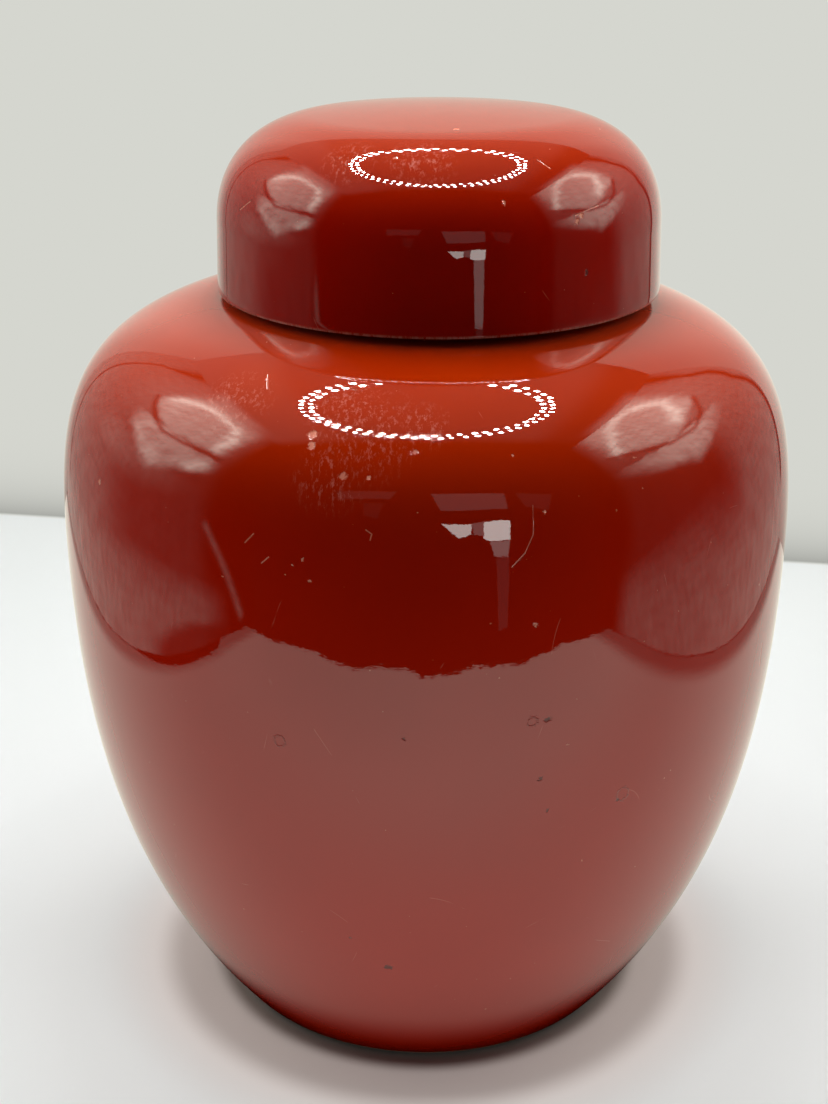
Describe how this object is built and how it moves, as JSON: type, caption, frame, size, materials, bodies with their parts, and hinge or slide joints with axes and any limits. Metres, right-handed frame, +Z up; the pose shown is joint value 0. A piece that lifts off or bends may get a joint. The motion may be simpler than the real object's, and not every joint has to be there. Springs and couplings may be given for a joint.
{
  "type": "ginger jar",
  "caption": "Round-bellied lidded jar in glossy red glazed porcelain, with a short hidden neck and a loose, low-domed cap lid that lifts straight off.",
  "frame": {"origin": "centre of the foot ring, on the flat underside that the jar stands on", "axes": "+Z up along the jar's axis; the jar is round, so -Y is simply taken as its front, and its loose lid sits 2 mm off that axis towards +X"},
  "size_m": [0.1204, 0.1204, 0.152],
  "materials": {
    "red_glaze": "glossy coral-red glaze over white porcelain, with fine scratches, scuffs and pinholes"
  },
  "bodies": {
    "jar": {"jar_body": "red_glaze"},
    "lid": {"lid": "red_glaze"}
  },
  "joints": [
    {"name": "lid_lift", "type": "slide", "parent": "jar", "child": "lid", "axis": [0, 0, 1], "range_m": [0, 0.07]}
  ]
}
